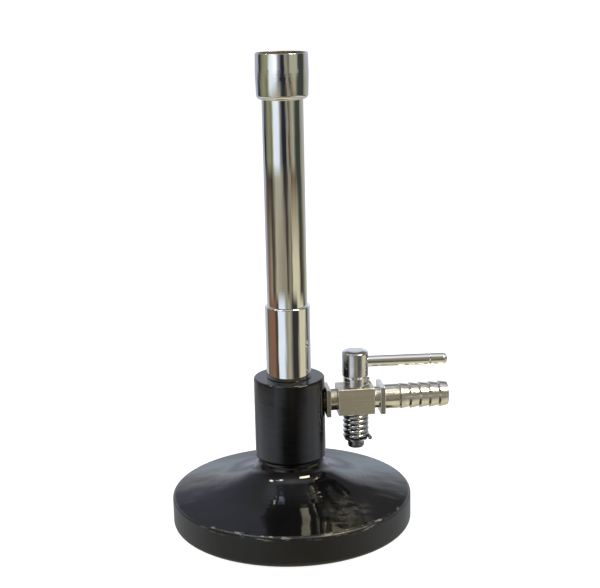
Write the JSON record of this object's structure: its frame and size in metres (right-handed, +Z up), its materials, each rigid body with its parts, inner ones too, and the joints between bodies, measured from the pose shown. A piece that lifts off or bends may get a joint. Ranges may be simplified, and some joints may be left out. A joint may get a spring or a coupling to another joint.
{
  "type": "bunsen burner",
  "caption": "Gas burner on a round cast base: chromed tube with flame stabiliser, turning air collar, and a side stopcock with lever and barbed hose nozzle.",
  "frame": {"origin": "on the burner tube's axis, in the plane that the base stands on", "axes": "+Z up along the burner tube; +X along the gas inlet towards the hose nozzle's open end; +Y to the rear, where the air hole is"},
  "size_m": [0.0933, 0.08, 0.1555],
  "materials": {
    "black_enamel": "glossy black enamel on cast iron",
    "black_paint": "semi-gloss black enamel on a turned body",
    "chrome": "polished chrome plate on brass",
    "nickel": "satin nickel plate on machined brass bar",
    "brass": "plain turned brass",
    "spring_steel": "bright plated spring steel",
    "zinc_steel": "zinc plated steel",
    "fibre": "red-brown vulcanised fibre"
  },
  "bodies": {
    "burner": {"base": "black_enamel", "base_screw": "zinc_steel", "base_lock_washer": "zinc_steel", "burner_body": "black_paint", "jet_washer": "fibre", "gas_jet": "brass", "burner_tube": "chrome", "flame_stabiliser": "chrome", "inlet_washer": "fibre", "lock_nut": "nickel", "inlet_nipple": "nickel", "stopcock_body": "nickel", "stop_pin": "spring_steel", "hose_nozzle": "nickel"},
    "collar": {"air_collar": "chrome"},
    "plug": {"stopcock_plug": "chrome", "lever_rod": "chrome", "spring_seat_washer": "spring_steel", "plug_spring": "spring_steel", "spring_retaining_washer": "spring_steel", "retaining_screw": "spring_steel"}
  },
  "joints": [
    {"name": "stopcock_turn", "type": "hinge", "parent": "burner", "child": "plug", "pos_m": [0.02215, 0, 0.041], "axis": [0, 0, -1], "range_deg": [-3, 87]},
    {"name": "air_collar_turn", "type": "hinge", "parent": "burner", "child": "collar", "pos_m": [0, 0, 0.062], "axis": [0, 0, 1], "continuous": true}
  ]
}
